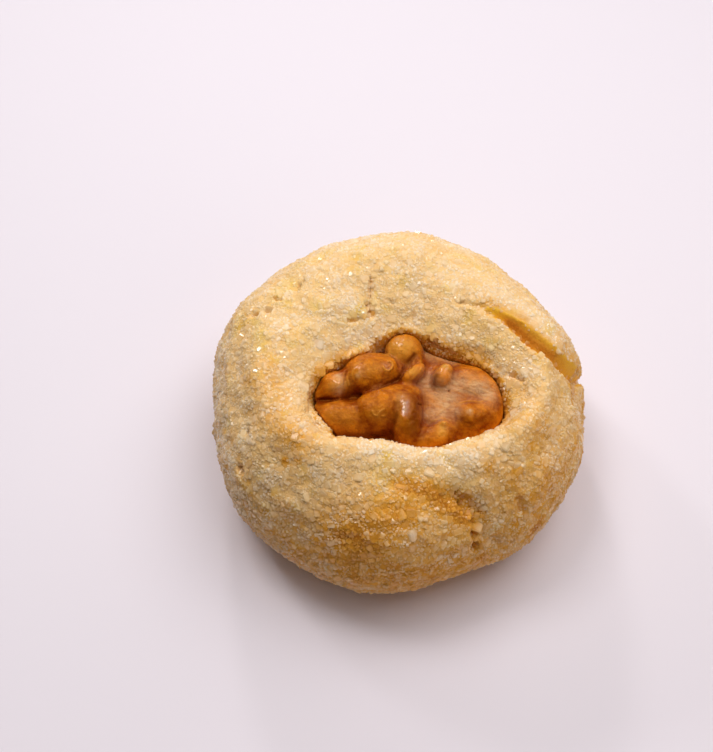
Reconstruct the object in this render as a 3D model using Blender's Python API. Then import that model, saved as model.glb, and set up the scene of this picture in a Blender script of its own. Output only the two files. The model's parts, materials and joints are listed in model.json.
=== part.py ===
"""An almond paste cookie with a walnut half pressed into its top.

Two solids: the dough, a squat ball that is flattened underneath, dished on top, torn open along one
shoulder and cracked on the front, and the walnut, a kernel half whose lobes stand in a pocket that
takes its outline. Metres, +Z up. The cookie rests on z = 0, and its box is centred on the Z axis.
The cracked front faces -Y. Directions are in degrees, counted from +X towards +Y.
"""

import math

import bmesh
import bpy
from mathutils import Matrix, Vector, noise
from mathutils.bvhtree import BVHTree

MM = 0.001
TAU = 2 * math.pi

# The dough's driving sizes
COOKIE_RADIUS = 24.6 * MM
COOKIE_HEIGHT = 22.0 * MM
SIDES = 92
# Where the round is fuller or flatter: direction, change of radius, half-width in degrees
SWELLINGS = (
    (11, 0.6 * MM, 8),
    (40, -0.9 * MM, 20),
    (92, 0.4 * MM, 14),
    (122, -0.6 * MM, 16),
    (155, 0.3 * MM, 14),
    (182, -0.5 * MM, 16),
    (222, 0.4 * MM, 14),
    (264, 0.3 * MM, 10),
    (294, -1.0 * MM, 14),
    (333, 0.2 * MM, 12),
    (352, -0.3 * MM, 10),
)
UNDERSIDE_RINGS = (0.25, 0.52)
# The side, from the underside's edge up to the shoulder: share of the radius, share of the height
SIDE_PROFILE = (
    (0.760, 0.000),
    (0.850, 0.022),
    (0.925, 0.090),
    (0.972, 0.190),
    (0.995, 0.310),
    (0.998, 0.440),
    (0.982, 0.570),
    (0.945, 0.690),
    (0.888, 0.800),
    (0.810, 0.888),
)
# Where the side has slumped: direction, share of its height lost, half-width in degrees
SLUMPS = ((267, 0.12, 50),)

# The dished top runs from the shoulder over a crest and down to the pocket's edge
DISH_STEPS = 10
# The crest's place between the shoulder at 0 and the pocket's edge at 1, and where it lies nearer
# to the pocket: direction, change of share, half-width in degrees
CREST_SHARE = 0.42
CREST_SHIFTS = ((270, 0.38, 45),)
# How far the crest stays under the full height: direction, drop, half-width in degrees
CREST_DROPS = (
    (0, 0.5 * MM, 40),
    (180, 0.4 * MM, 40),
    (270, 2.1 * MM, 50),
)

# The pocket that the kernel sits in: an oval that is fuller where the kernel is
POCKET_CENTRE = Vector((1.3, -4.0, 0)) * MM
POCKET_HALF_LENGTH = 11.75 * MM
POCKET_HALF_WIDTH = 6.25 * MM
POCKET_SWELLINGS = (
    (8, -0.65 * MM, 28),
    (95, 2.45 * MM, 28),
    (184, 0.5 * MM, 12),
    (212, 1.8 * MM, 18),
    (270, 0.55 * MM, 40),
    (290, 1.15 * MM, 32),
    (337, 1.6 * MM, 18),
)
POCKET_EDGE_HEIGHT = 18.9 * MM
POCKET_EDGE_LIFTS = (
    (0, 0.3 * MM, 25),
    (90, 0.5 * MM, 40),
    (180, 0.7 * MM, 25),
    (270, 0.5 * MM, 35),
)
POCKET_FLOOR_HEIGHT = 11.4 * MM
# Its wall and floor, from the edge inwards: share of the outline's radius, share of the depth
POCKET_PROFILE = (
    (1.000, 0.000),
    (0.990, 0.100),
    (0.978, 0.280),
    (0.950, 0.480),
    (0.895, 0.660),
    (0.790, 0.800),
    (0.620, 0.910),
    (0.400, 0.975),
    (0.180, 0.995),
)
KERNEL_GAP = 0.35 * MM
MOULD_RIM_HEIGHT = 27.0 * MM

# Lumps in the hand-rolled dough: length of a lump, height. They fade out towards the underside.
LUMPS = (
    (11.0 * MM, 0.55 * MM),
    (4.2 * MM, 0.32 * MM),
)
LUMP_FADE_HEIGHT = 2.5 * MM

# A crack is a wedge cut along a line on the surface. The line is given by the azimuth and the
# elevation at which CORE sees it, with the crack's width and depth there in millimetres. The lean
# is where the crack's bottom lies across its width: 0 is under the line, 1 under the far edge.
CORE = Vector((0, 0, 9)) * MM
TEAR_LEAN = 0.12
TEAR = (
    (33, 49.0, 0.3, 0.5),
    (24, 45.8, 1.0, 1.4),
    (16, 43.2, 1.6, 2.2),
    (7, 40.0, 2.1, 2.8),
    (0, 37.0, 2.4, 2.9),
    (-3.5, 32.5, 2.5, 2.9),
    (-5, 27.0, 2.6, 2.8),
    (-5, 21.0, 2.7, 2.6),
    (-3, 15.0, 2.6, 2.3),
    (1, 8.0, 2.2, 1.8),
    (6, 1.0, 1.4, 1.0),
    (10, -4.0, 0.5, 0.4),
)
FRONT_CRACK_LEAN = 0.5
FRONT_CRACK = (
    (-85, 32.6, 0.3, 0.3),
    (-78, 28.4, 0.9, 0.8),
    (-72, 24.0, 1.1, 1.2),
    (-68.5, 20.0, 1.2, 1.4),
    (-66.5, 16.5, 1.1, 1.3),
    (-66.5, 12.0, 1.0, 1.1),
    (-67, 6.6, 0.4, 0.4),
)
CRACK_STEPS = 3
# How far a cutter stands clear above the surface, and how far its sides flare there
CUTTER_ABOVE = 1.2 * MM
CUTTER_FLARE = 0.15 * MM
# The surface's direction at a station is averaged over this many stations either way
NORMAL_REACH = 7

# The kernel's lobes in millimetres, from the pocket's centre and the table.
# Rolls: points along each as x, y, z and the radius there
ROLLS = {
    "upper_roll": (
        (-10.6, 0.7, 17.0, 1.4),
        (-9.4, 1.3, 17.4, 1.95),
        (-7.9, 1.9, 17.4, 1.65),
        (-6.4, 2.5, 17.5, 2.6),
        (-4.6, 2.9, 17.5, 2.9),
        (-2.9, 3.1, 17.5, 2.5),
        (-1.7, 3.0, 17.3, 1.7),
    ),
    "lower_roll_end": (
        (-11.0, -2.2, 16.4, 1.6),
        (-9.4, -2.9, 16.8, 2.35),
        (-7.6, -3.2, 16.9, 2.4),
        (-6.0, -3.3, 16.8, 2.3),
    ),
    "lower_roll": (
        (-5.9, -2.9, 17.1, 2.2),
        (-4.7, -2.5, 17.4, 2.75),
        (-3.1, -1.9, 17.4, 2.9),
        (-1.6, -1.0, 17.3, 2.6),
        (-0.5, -0.3, 17.1, 2.2),
    ),
    "front_rim": (
        (0.2, -5.8, 16.6, 1.6),
        (2.0, -5.9, 16.9, 1.7),
        (3.8, -5.1, 17.0, 1.6),
        (4.9, -4.4, 16.7, 1.3),
    ),
    "right_rim": (
        (9.2, -4.2, 16.0, 1.4),
        (10.9, -2.3, 16.2, 1.5),
        (11.5, 0.2, 16.2, 1.5),
        (10.7, 2.6, 16.2, 1.4),
        (8.6, 4.2, 16.2, 1.4),
    ),
}
ROLL_STEPS = 5
ROLL_SIDES = 20
ROLL_CAP_LATITUDES = (25, 50, 75)
# Mounds: centre, half-sizes along x, y and z, and the turn about Z in degrees
MOUNDS = {
    "head": ((-0.7, -2.8, 17.0), (2.25, 4.1, 3.2), 5),
    "knob": ((-0.6, 6.5, 17.1), (2.5, 2.7, 2.4), 0),
    "knob_fold": ((0.5, 4.6, 16.9), (1.6, 1.7, 1.8), 30),
    "web": ((-8.2, -0.8, 15.6), (3.6, 1.3, 2.0), 0),
    "tubercle": ((0.5, 2.5, 18.7), (1.9, 0.85, 1.1), 42),
    "plate": ((5.6, 0.0, 15.6), (7.6, 7.2, 2.8), 0),
    "back_shelf": ((4.4, 4.7, 15.6), (4.4, 3.2, 2.0), -20),
    "mound_back": ((7.9, 1.7, 16.3), (4.3, 3.1, 2.8), -18),
    "mound_front": ((7.8, -2.2, 16.3), (4.3, 2.9, 2.5), 14),
    "mound_right": ((9.3, -0.3, 15.9), (3.2, 3.2, 2.7), 0),
    "bump": ((6.8, -3.1, 16.9), (2.2, 2.0, 2.1), 0),
    "nub": ((3.9, 2.0, 17.9), (1.35, 1.75, 1.8), -25),
    "nub_tip": ((4.3, 2.9, 18.6), (1.0, 1.0, 1.1), 0),
    "pip_left": ((3.7, -4.4, 17.8), (1.0, 0.8, 0.9), 20),
    "pip_front": ((3.3, -5.4, 17.7), (0.75, 0.7, 0.9), 0),
    "pip_right": ((4.7, -4.7, 17.6), (0.7, 0.7, 0.8), 0),
    "body": ((0.0, 0.0, 13.6), (13.9, 9.8, 3.0), 0),
}
MOUND_SEGMENTS = 40
MOUND_RINGS = 24
LOBE_VOXEL = 0.28 * MM
LOBE_SMOOTHING = 5
KERNEL_KEPT_FACES = 0.33


def clear_scene():
    for old in list(bpy.data.objects):
        bpy.data.objects.remove(old, do_unlink=True)


def finish(name, colour, roughness, coat=0.0):
    """A non-metal in one colour, with or without a clear coat."""
    made = bpy.data.materials.new(name)
    made.use_nodes = True
    shader = made.node_tree.nodes["Principled BSDF"]
    shader.inputs["Base Color"].default_value = (*colour, 1)
    shader.inputs["Roughness"].default_value = roughness
    shader.inputs["Metallic"].default_value = 0.0
    shader.inputs["Coat Weight"].default_value = coat
    made.diffuse_color = (*colour, 1)
    return made


def add_object(name, builder):
    """An object made from a bmesh, which is freed."""
    bmesh.ops.recalc_face_normals(builder, faces=builder.faces)
    mesh = bpy.data.meshes.new(name)
    builder.to_mesh(mesh)
    builder.free()
    made = bpy.data.objects.new(name, mesh)
    bpy.context.scene.collection.objects.link(made)
    return made


def helper(made):
    """Marks an object that only cuts or trims others."""
    made.hide_render = True
    made.display_type = "WIRE"
    return made


def skin(builder, stations, first_hub, last_hub):
    """A closed skin through rings of points, each end drawn in to one point."""
    rings = [[builder.verts.new(point) for point in station] for station in stations]
    sides = len(rings[0])
    for lower, upper in zip(rings, rings[1:]):
        for side in range(sides):
            after = (side + 1) % sides
            builder.faces.new((lower[side], lower[after], upper[after], upper[side]))
    for hub_point, rim in ((first_hub, rings[0]), (last_hub, rings[-1])):
        hub = builder.verts.new(hub_point)
        for side in range(sides):
            builder.faces.new((hub, rim[side], rim[(side + 1) % sides]))
    return rings


def smooth_curve(rows, steps):
    """Rows of numbers read from a Catmull-Rom curve through the given ones, ends included."""
    rows = [Vector(row) for row in rows]
    padded = [2 * rows[0] - rows[1], *rows, 2 * rows[-1] - rows[-2]]
    read = []
    for before, start, end, after in zip(padded, padded[1:], padded[2:], padded[3:]):
        bend = 2 * before - 5 * start + 4 * end - after
        twist = 3 * start - before - 3 * end + after
        for step in range(steps):
            t = step / steps
            read.append(start + ((end - before) * t + bend * t**2 + twist * t**3) / 2)
    read.append(rows[-1])
    return read


def around(angle):
    return Vector((math.cos(angle), math.sin(angle), 0))


def swell(angle, swellings):
    """The sum at an angle of rounded swellings given as direction, height, half-width in degrees."""
    total = 0.0
    for direction, height, half_width in swellings:
        away = (math.degrees(angle) - direction + 180) % 360 - 180
        total += height * math.exp(-((away / half_width) ** 2))
    return total


def round_radius(angle):
    """The dough's widest radius in one direction."""
    return COOKIE_RADIUS + swell(angle, SWELLINGS)


def pocket_radius(angle):
    """The pocket's outline, from its centre."""
    oval = 1 / math.hypot(math.cos(angle) / POCKET_HALF_LENGTH, math.sin(angle) / POCKET_HALF_WIDTH)
    return oval + swell(angle, POCKET_SWELLINGS)


def pocket_edge_height(angle):
    return POCKET_EDGE_HEIGHT + swell(angle, POCKET_EDGE_LIFTS)


def ring(point_at):
    """Points all round the cookie, from a function of the angle."""
    return [point_at(TAU * side / SIDES) for side in range(SIDES)]


def side_point(angle, radius_share, height):
    """A point of the side, lower where the side has slumped."""
    point = around(angle) * round_radius(angle) * radius_share
    point.z = height * (1 - swell(angle, SLUMPS))
    return point


def side_ring(radius_share, height):
    return ring(lambda angle: side_point(angle, radius_share, height))


def dish_ring(share):
    """A ring of the dished top, between the shoulder at share 0 and the pocket's edge at share 1."""

    def point_at(angle):
        shoulder_share, shoulder_height = SIDE_PROFILE[-1]
        shoulder = side_point(angle, shoulder_share, shoulder_height * COOKIE_HEIGHT)
        inner = POCKET_CENTRE + around(angle) * pocket_radius(angle)
        crest = COOKIE_HEIGHT - swell(angle, CREST_DROPS)
        crest_share = CREST_SHARE + swell(angle, CREST_SHIFTS)
        point = shoulder.lerp(inner, share)
        if share < crest_share:
            rise = math.sin(math.pi / 2 * share / crest_share)
            point.z = shoulder.z + (crest - shoulder.z) * rise
        else:
            down = (share - crest_share) / (1 - crest_share)
            point.z = crest - (crest - pocket_edge_height(angle)) * down**2
        return point

    return ring(point_at)


def pocket_ring(radius_share, depth_share, gap=0.0):
    """A ring of the pocket's wall or floor, or of a form that stays a gap away from them."""

    def point_at(angle):
        point = POCKET_CENTRE + around(angle) * (pocket_radius(angle) * radius_share - gap)
        edge = pocket_edge_height(angle)
        point.z = edge + (POCKET_FLOOR_HEIGHT + gap - edge) * depth_share
        return point

    return ring(point_at)


def pocket_floor(gap=0.0):
    return POCKET_CENTRE + Vector((0, 0, POCKET_FLOOR_HEIGHT + gap))


def build_dough():
    """The dough before it cracks: from the underside up the side, over the top, into the pocket."""
    stations = [side_ring(share, 0) for share in UNDERSIDE_RINGS]
    stations += [side_ring(share, height * COOKIE_HEIGHT) for share, height in SIDE_PROFILE]
    stations += [dish_ring(step / DISH_STEPS) for step in range(1, DISH_STEPS)]
    stations += [pocket_ring(*shares) for shares in POCKET_PROFILE]
    builder = bmesh.new()
    rings = skin(builder, stations, Vector(), pocket_floor())
    bmesh.ops.recalc_face_normals(builder, faces=builder.faces)
    builder.normal_update()
    first_raised = len(UNDERSIDE_RINGS) + 1
    for loop in rings[first_raised : -len(POCKET_PROFILE)]:
        for vertex in loop:
            lump = sum(height * noise.noise(vertex.co / length) for length, height in LUMPS)
            vertex.co += vertex.normal * lump * min(1.0, vertex.co.z / LUMP_FADE_HEIGHT)
    return add_object("dough", builder)


def surface_of(made):
    """A mesh ready to be hit by rays."""
    builder = bmesh.new()
    builder.from_mesh(made.data)
    tree = BVHTree.FromBMesh(builder)
    builder.free()
    return tree


def seen_from_core(surface, azimuth, elevation):
    """The outermost point of a surface in one direction from the core, and its normal."""
    way = around(math.radians(azimuth)) * math.cos(math.radians(elevation))
    way.z = math.sin(math.radians(elevation))
    outside = CORE + way * 2 * COOKIE_RADIUS
    place, normal, _, _ = surface.ray_cast(outside, -way)
    return place, normal


def build_crack_cutter(name, surface, line, lean):
    """A wedge along a line on the surface: its far edge lies to the left of the way the line runs."""
    read = smooth_curve(line, CRACK_STEPS)
    places, normals = zip(*(seen_from_core(surface, row[0], row[1]) for row in read))
    last = len(read) - 1
    stations = []
    for index, place in enumerate(places):
        near_by = normals[max(index - NORMAL_REACH, 0) : index + NORMAL_REACH + 1]
        up = sum(near_by, Vector()).normalized()
        along = places[min(index + 1, last)] - places[max(index - 1, 0)]
        across = up.cross(along).normalized()
        width = read[index][2] * MM
        depth = read[index][3] * MM
        stations.append(
            (
                place - across * CUTTER_FLARE + up * CUTTER_ABOVE,
                place + across * width * lean - up * depth,
                place + across * width,
                place + across * (width + CUTTER_FLARE) + up * CUTTER_ABOVE,
            )
        )
    builder = bmesh.new()
    middles = [sum(station, Vector()) / len(station) for station in stations]
    skin(builder, stations, middles[0], middles[-1])
    return helper(add_object(name, builder))


def add_boolean(made, operation, other):
    modifier = made.modifiers.new(other.name, "BOOLEAN")
    modifier.operation = operation
    modifier.solver = "EXACT"
    modifier.object = other


def build_mould():
    """The room inside the pocket, clear of its wall and open above, which the kernel may fill."""
    above = Vector((0, 0, MOULD_RIM_HEIGHT - POCKET_EDGE_HEIGHT))
    stations = [[point + above for point in pocket_ring(*POCKET_PROFILE[0], KERNEL_GAP)]]
    stations += [pocket_ring(*shares, KERNEL_GAP) for shares in POCKET_PROFILE]
    builder = bmesh.new()
    skin(builder, stations, POCKET_CENTRE + Vector((0, 0, MOULD_RIM_HEIGHT)), pocket_floor(KERNEL_GAP))
    return helper(add_object("kernel_mould", builder))


def cap_cut(end, way, radius, latitude):
    """A cut through the ball that rounds off a roll's end: its centre, its direction and its radius."""
    angle = math.radians(latitude)
    return end + way * radius * math.sin(angle), way, radius * math.cos(angle)


def add_roll(builder, line):
    """A roll with rounded ends, its rings square to a smooth line."""
    read = smooth_curve(line, ROLL_STEPS)
    places = [Vector(row[:3]) * MM + POCKET_CENTRE for row in read]
    radii = [row[3] * MM for row in read]
    first_way = (places[1] - places[0]).normalized()
    last_way = (places[-1] - places[-2]).normalized()
    cuts = [cap_cut(places[0], first_way, radii[0], -latitude) for latitude in ROLL_CAP_LATITUDES]
    cuts.reverse()
    for index, place in enumerate(places):
        way = places[min(index + 1, len(places) - 1)] - places[max(index - 1, 0)]
        cuts.append((place, way.normalized(), radii[index]))
    cuts += [cap_cut(places[-1], last_way, radii[-1], latitude) for latitude in ROLL_CAP_LATITUDES]
    stations = []
    for place, way, radius in cuts:
        side = way.cross(Vector((0, 0, 1))).normalized()
        up = side.cross(way)
        turns = [around(TAU * step / ROLL_SIDES) for step in range(ROLL_SIDES)]
        stations.append([place + (side * turn.x + up * turn.y) * radius for turn in turns])
    skin(builder, stations, places[0] - first_way * radii[0], places[-1] + last_way * radii[-1])


def add_mound(builder, centre, half_sizes, turn):
    bmesh.ops.create_uvsphere(
        builder,
        u_segments=MOUND_SEGMENTS,
        v_segments=MOUND_RINGS,
        radius=1,
        matrix=Matrix.Translation(Vector(centre) * MM + POCKET_CENTRE)
        @ Matrix.Rotation(math.radians(turn), 4, "Z")
        @ Matrix.Diagonal((*(Vector(half_sizes) * MM), 1)),
    )


def build_walnut(mould):
    """The kernel: its lobes grown into one skin, then trimmed to what the pocket leaves free."""
    builder = bmesh.new()
    for line in ROLLS.values():
        add_roll(builder, line)
    for mound in MOUNDS.values():
        add_mound(builder, *mound)
    made = add_object("walnut", builder)
    one_skin = made.modifiers.new("one_skin", "REMESH")
    one_skin.mode = "VOXEL"
    one_skin.voxel_size = LOBE_VOXEL
    soften = made.modifiers.new("soften", "SMOOTH")
    soften.factor = 0.5
    soften.iterations = LOBE_SMOOTHING
    add_boolean(made, "INTERSECT", mould)
    fewer_faces = made.modifiers.new("fewer_faces", "DECIMATE")
    fewer_faces.ratio = KERNEL_KEPT_FACES
    return made


def box_middle(made):
    """The middle on the table of the box round an object with its modifiers applied."""
    bpy.context.view_layer.update()
    whole = made.evaluated_get(bpy.context.evaluated_depsgraph_get())
    places = [vertex.co for vertex in whole.data.vertices]
    low = Vector([min(place[axis] for place in places) for axis in (0, 1)])
    high = Vector([max(place[axis] for place in places) for axis in (0, 1)])
    return ((low + high) / 2).to_3d()


def main():
    clear_scene()
    dough = build_dough()
    surface = surface_of(dough)
    add_boolean(dough, "DIFFERENCE", build_crack_cutter("tear", surface, TEAR, TEAR_LEAN))
    front_crack = build_crack_cutter("front_crack", surface, FRONT_CRACK, FRONT_CRACK_LEAN)
    add_boolean(dough, "DIFFERENCE", front_crack)
    walnut = build_walnut(build_mould())
    dough.data.materials.append(finish("almond_dough", (0.72, 0.52, 0.29), 0.75))
    walnut.data.materials.append(finish("walnut_skin", (0.42, 0.17, 0.045), 0.35, coat=0.3))
    middle = box_middle(dough)
    for made in bpy.data.objects:
        made.location -= middle
    for made in (dough, walnut):
        made.data.shade_smooth()


main()
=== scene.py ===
# %% [markdown]
# # An almond paste cookie
#
# The real thing is a ball of almond dough. It is rolled in coarse sugar, pressed flat with a walnut half
# in its top, and baked until it browns a little and tears at one shoulder.
#
# This lesson starts from a fixed model of two solids, the dough and the walnut, and gives them what the
# solids leave out: the crumb of the dough, some twenty-three thousand grains of sugar, the folds and the oily
# skin of the walnut, and light to see them by.

# %% Load the fixed model
import json
import math

import bpy
import numpy as np
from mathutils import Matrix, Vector, noise
from mathutils.bvhtree import BVHTree

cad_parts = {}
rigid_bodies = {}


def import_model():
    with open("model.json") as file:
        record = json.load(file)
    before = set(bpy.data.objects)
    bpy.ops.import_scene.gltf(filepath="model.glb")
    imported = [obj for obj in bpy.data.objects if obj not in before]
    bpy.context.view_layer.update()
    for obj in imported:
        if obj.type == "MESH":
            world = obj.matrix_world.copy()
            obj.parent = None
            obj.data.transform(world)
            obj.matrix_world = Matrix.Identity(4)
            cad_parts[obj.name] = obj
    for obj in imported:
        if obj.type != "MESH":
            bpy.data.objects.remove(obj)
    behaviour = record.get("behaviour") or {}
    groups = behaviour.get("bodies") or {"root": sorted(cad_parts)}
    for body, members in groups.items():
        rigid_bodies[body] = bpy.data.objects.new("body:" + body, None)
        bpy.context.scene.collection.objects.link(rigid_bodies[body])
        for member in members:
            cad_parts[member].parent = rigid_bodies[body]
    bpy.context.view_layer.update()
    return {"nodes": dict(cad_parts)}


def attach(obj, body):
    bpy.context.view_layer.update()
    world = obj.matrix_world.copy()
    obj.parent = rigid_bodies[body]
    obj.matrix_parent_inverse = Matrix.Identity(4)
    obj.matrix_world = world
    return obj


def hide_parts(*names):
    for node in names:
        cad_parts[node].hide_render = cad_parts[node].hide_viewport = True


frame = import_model()
MM = 0.001

# %% [markdown]
# ## The camera
#
# The camera comes first, because later cells use it to place marks on the crust. It stands where the
# photographer stood, in front of the cookie and well above it, and looks down at 58 degrees. A lens of
# 43 mm takes in the whole cookie with a little perspective. In Blender, a camera that isn't turned looks
# straight down, so the tilt is what is left of a right angle.

# %% Stand the camera where the photographer stood
FRAME_WIDTH = 713
FRAME_HEIGHT = 752
FOCAL_PIXELS = 900
SENSOR_WIDTH = 36
CAMERA_PITCH = math.radians(58)
CAMERA_PLACE = Vector((-5.54, -60.09, 111.40)) * MM

bpy.ops.object.camera_add(location=CAMERA_PLACE, rotation=(math.pi / 2 - CAMERA_PITCH, 0, 0))
camera = bpy.context.active_object
camera.name = "photo_camera"
camera.data.sensor_width = SENSOR_WIDTH
camera.data.lens = FOCAL_PIXELS * SENSOR_WIDTH / max(FRAME_WIDTH, FRAME_HEIGHT)
camera.data.clip_start = 10 * MM
bpy.context.scene.camera = camera
print("The lens is", round(camera.data.lens, 1), "mm")

# %% [markdown]
# ## Helpers for working by hand
#
# Operators act on what is selected, so one helper selects a piece alone, and one adds a modifier and
# applies it at once. A third makes a new piece out of a copy of one of the model's solids. The solid's
# triangles are loose, each with corners of its own, so the copy is merged before anything else. A fourth
# clears away the small bubbles that a remesh can leave inside a narrow crack.

# %% Tools for pieces and modifiers
MERGE_DISTANCE = 0.002 * MM


def select_only(piece):
    """Selects one piece and makes it the one that operators act on."""
    bpy.ops.object.select_all(action="DESELECT")
    piece.select_set(True)
    bpy.context.view_layer.objects.active = piece


def apply_modifier(piece, kind, **settings):
    """Adds a modifier, sets it and applies it at once."""
    select_only(piece)
    bpy.ops.object.modifier_add(type=kind)
    modifier = piece.modifiers[-1]
    for setting, value in settings.items():
        setattr(modifier, setting, value)
    bpy.ops.object.modifier_apply(modifier=modifier.name)


def merged_copy(node, name):
    """A new piece from a copy of a solid, its triangles joined along their edges."""
    piece = bpy.data.objects.new(name, frame["nodes"][node].data.copy())
    bpy.context.scene.collection.objects.link(piece)
    piece.data.materials.clear()
    select_only(piece)
    bpy.ops.object.mode_set(mode="EDIT")
    bpy.ops.mesh.select_all(action="SELECT")
    bpy.ops.mesh.remove_doubles(threshold=MERGE_DISTANCE)
    bpy.ops.object.mode_set(mode="OBJECT")
    return piece


def keep_main_part(piece):
    """Deletes what isn't joined to the piece's lowest point, such as bubbles that a remesh leaves inside."""
    select_only(piece)
    bpy.ops.object.mode_set(mode="EDIT")
    bpy.ops.mesh.select_all(action="DESELECT")
    bpy.ops.object.mode_set(mode="OBJECT")
    lowest = int(points_of(piece)[:, 2].argmin())
    piece.data.vertices[lowest].select = True
    bpy.ops.object.mode_set(mode="EDIT")
    bpy.ops.mesh.select_linked()
    bpy.ops.mesh.select_all(action="INVERT")
    bpy.ops.mesh.delete(type="VERT")
    bpy.ops.object.mode_set(mode="OBJECT")


# %% [markdown]
# ## Helpers that read a piece and shape it
#
# Arrays are quicker than loops over thousands of points, so these helpers hand over a piece's points and
# directions as arrays, and take numbers to store with it. Three more shape a surface: they smooth it, push
# it and roughen it. The last measures how far smoothing would move it, which tells folds from ridges.

# %% Tools for surfaces
WEIGHT_STEPS = 20
SMOOTHING = 0.5


def points_of(piece):
    places = np.empty(len(piece.data.vertices) * 3)
    piece.data.vertices.foreach_get("co", places)
    return places.reshape(-1, 3)


def directions_of(piece):
    """The surface's direction at each point."""
    found = np.empty(len(piece.data.vertices) * 3)
    piece.data.vertex_normals.foreach_get("vector", found)
    return found.reshape(-1, 3)


def triangles_in(piece):
    return sum(len(face.vertices) - 2 for face in piece.data.polygons)


def store(piece, name, values):
    """Keeps one number for each point of a piece, for its material to read."""
    attribute = piece.data.attributes.new(name, "FLOAT", "POINT")
    attribute.data.foreach_set("value", np.asarray(values, np.float32))


def weight_group(piece, name, weights):
    """A vertex group, which tells a modifier how strongly it acts at each point."""
    group = piece.vertex_groups.new(name=name)
    steps = np.round(np.clip(weights, 0, 1) * WEIGHT_STEPS).astype(int)
    for step in range(1, WEIGHT_STEPS + 1):
        chosen = np.flatnonzero(steps == step)
        if len(chosen):
            group.add(chosen.tolist(), step / WEIGHT_STEPS, "REPLACE")
    return group.name


def smooth(piece, rounds, group=""):
    """Smooths a piece, all of it or as strongly as a vertex group says."""
    apply_modifier(piece, "SMOOTH", factor=SMOOTHING, iterations=rounds, vertex_group=group)


def push(piece, distance, group):
    """Moves the surface out, or in if the distance is negative, as strongly as a vertex group says."""
    apply_modifier(piece, "DISPLACE", strength=distance, mid_level=0.0, vertex_group=group)


def roughen(piece, name, size, height, group=""):
    """Moves the surface in and out with a cloud texture, whose lumps have one size."""
    texture = bpy.data.textures.new(name, "CLOUDS")
    texture.noise_scale = size
    texture.noise_depth = 2
    apply_modifier(
        piece,
        "DISPLACE",
        texture=texture,
        texture_coords="LOCAL",
        strength=height,
        mid_level=0.5,
        vertex_group=group,
    )


def filling(piece, rounds):
    """How far smoothing would fill up each point: above 0 in folds and pits, below 0 on ridges."""
    select_only(piece)
    bpy.ops.object.duplicate()
    smoothed = bpy.context.active_object
    smooth(smoothed, rounds)
    moved = points_of(smoothed) - points_of(piece)
    bpy.data.objects.remove(smoothed)
    return np.sum(moved * directions_of(piece), axis=1)


# %% [markdown]
# ## Finding places on a surface
#
# The photographer's camera sees each mark, fold and crack of the cookie at some pixel of the frame. A ray
# from the camera through that pixel finds its point on the surface. A mark is then a rounded patch round
# that point, or a rounded line through several of them.

# %% Tools for placing marks
USUAL_HEIGHT = 17 * MM
NOISE_STEPS = (17.3, 5.7, 11.1)


def tree_of(piece):
    """A piece's surface, ready to be hit by rays and searched for its nearest point."""
    return BVHTree.FromPolygons(
        [vertex.co for vertex in piece.data.vertices], [face.vertices for face in piece.data.polygons]
    )


def seen_at(tree, across, down):
    """The point of a surface that the camera sees at one place of the frame, or the nearest to it."""
    turn = camera.rotation_euler.to_matrix()
    ray = turn @ Vector((across - FRAME_WIDTH / 2, FRAME_HEIGHT / 2 - down, -FOCAL_PIXELS)).normalized()
    hit = tree.ray_cast(CAMERA_PLACE, ray)[0]
    if hit is None:
        beside = CAMERA_PLACE + ray * (USUAL_HEIGHT - CAMERA_PLACE.z) / ray.z
        hit = tree.find_nearest(beside)[0]
    return hit


def beside_line(places, start, end):
    """Each place's distance to a straight line between two points."""
    along = end - start
    share = np.clip((places - start) @ along / max(along @ along, 1e-12), 0, 1)
    return np.linalg.norm(places - start - share[:, None] * along, axis=1)


def marked(tree, rows, places):
    """How strongly each place is marked: every row is a rounded patch, or a rounded line with corners."""
    strength = np.zeros(len(places))
    for spots, radius, peak in rows:
        centres = [np.array(seen_at(tree, *spot)) for spot in spots]
        away = np.full(len(places), np.inf)
        for start, end in zip(centres, centres[1:] or centres):
            away = np.minimum(away, beside_line(places, start, end))
        strength = np.maximum(strength, peak * np.exp(-((away / (radius * MM)) ** 2)))
    return strength


def noise_at(places, size, seed):
    """Smooth noise from about -1 to 1 at each of the places, with lumps of one size."""
    shift = Vector([seed * step for step in NOISE_STEPS])
    return np.array([noise.noise(Vector(place) / size + shift) for place in places])


def smooth_step(values, start, end):
    """0 before the start, 1 after the end, and an even rise between them."""
    share = np.clip((values - start) / (end - start), 0, 1)
    return share * share * (3 - 2 * share)


# %% [markdown]
# ## The walnut's folds
#
# The kernel's rolls, knob and plate are in the solid. The finest ridges and creases are drawn on it later:
# the curl at the end of the upper roll, the rings round its neck and the folds below the knob. Here they
# are noted by where the camera sees them, with the places that are softer or more swollen than the solid.

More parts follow.
